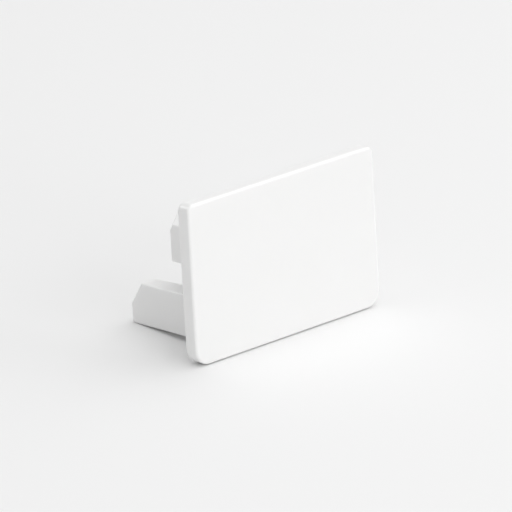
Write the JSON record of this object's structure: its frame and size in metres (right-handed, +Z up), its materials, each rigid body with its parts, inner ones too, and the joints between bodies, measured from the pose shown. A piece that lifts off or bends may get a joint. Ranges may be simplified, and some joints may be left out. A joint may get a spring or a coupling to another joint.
{
  "type": "profile end cap",
  "caption": "Rounded rectangular cover plate for the open end of an extruded profile, held by tapered push-in lugs moulded onto its back.",
  "frame": {"origin": "centre of the seating face, the back of the plate that lies against the profile's cut end", "axes": "+X across the plate's width, +Y out of the seating face into the profile, along the lugs, +Z up"},
  "size_m": [0.04, 0.0218, 0.0262],
  "materials": {
    "white_plastic": "satin, fine even mould texture, unpainted"
  },
  "bodies": {
    "root": {"end_cap": "white_plastic"}
  },
  "joints": []
}
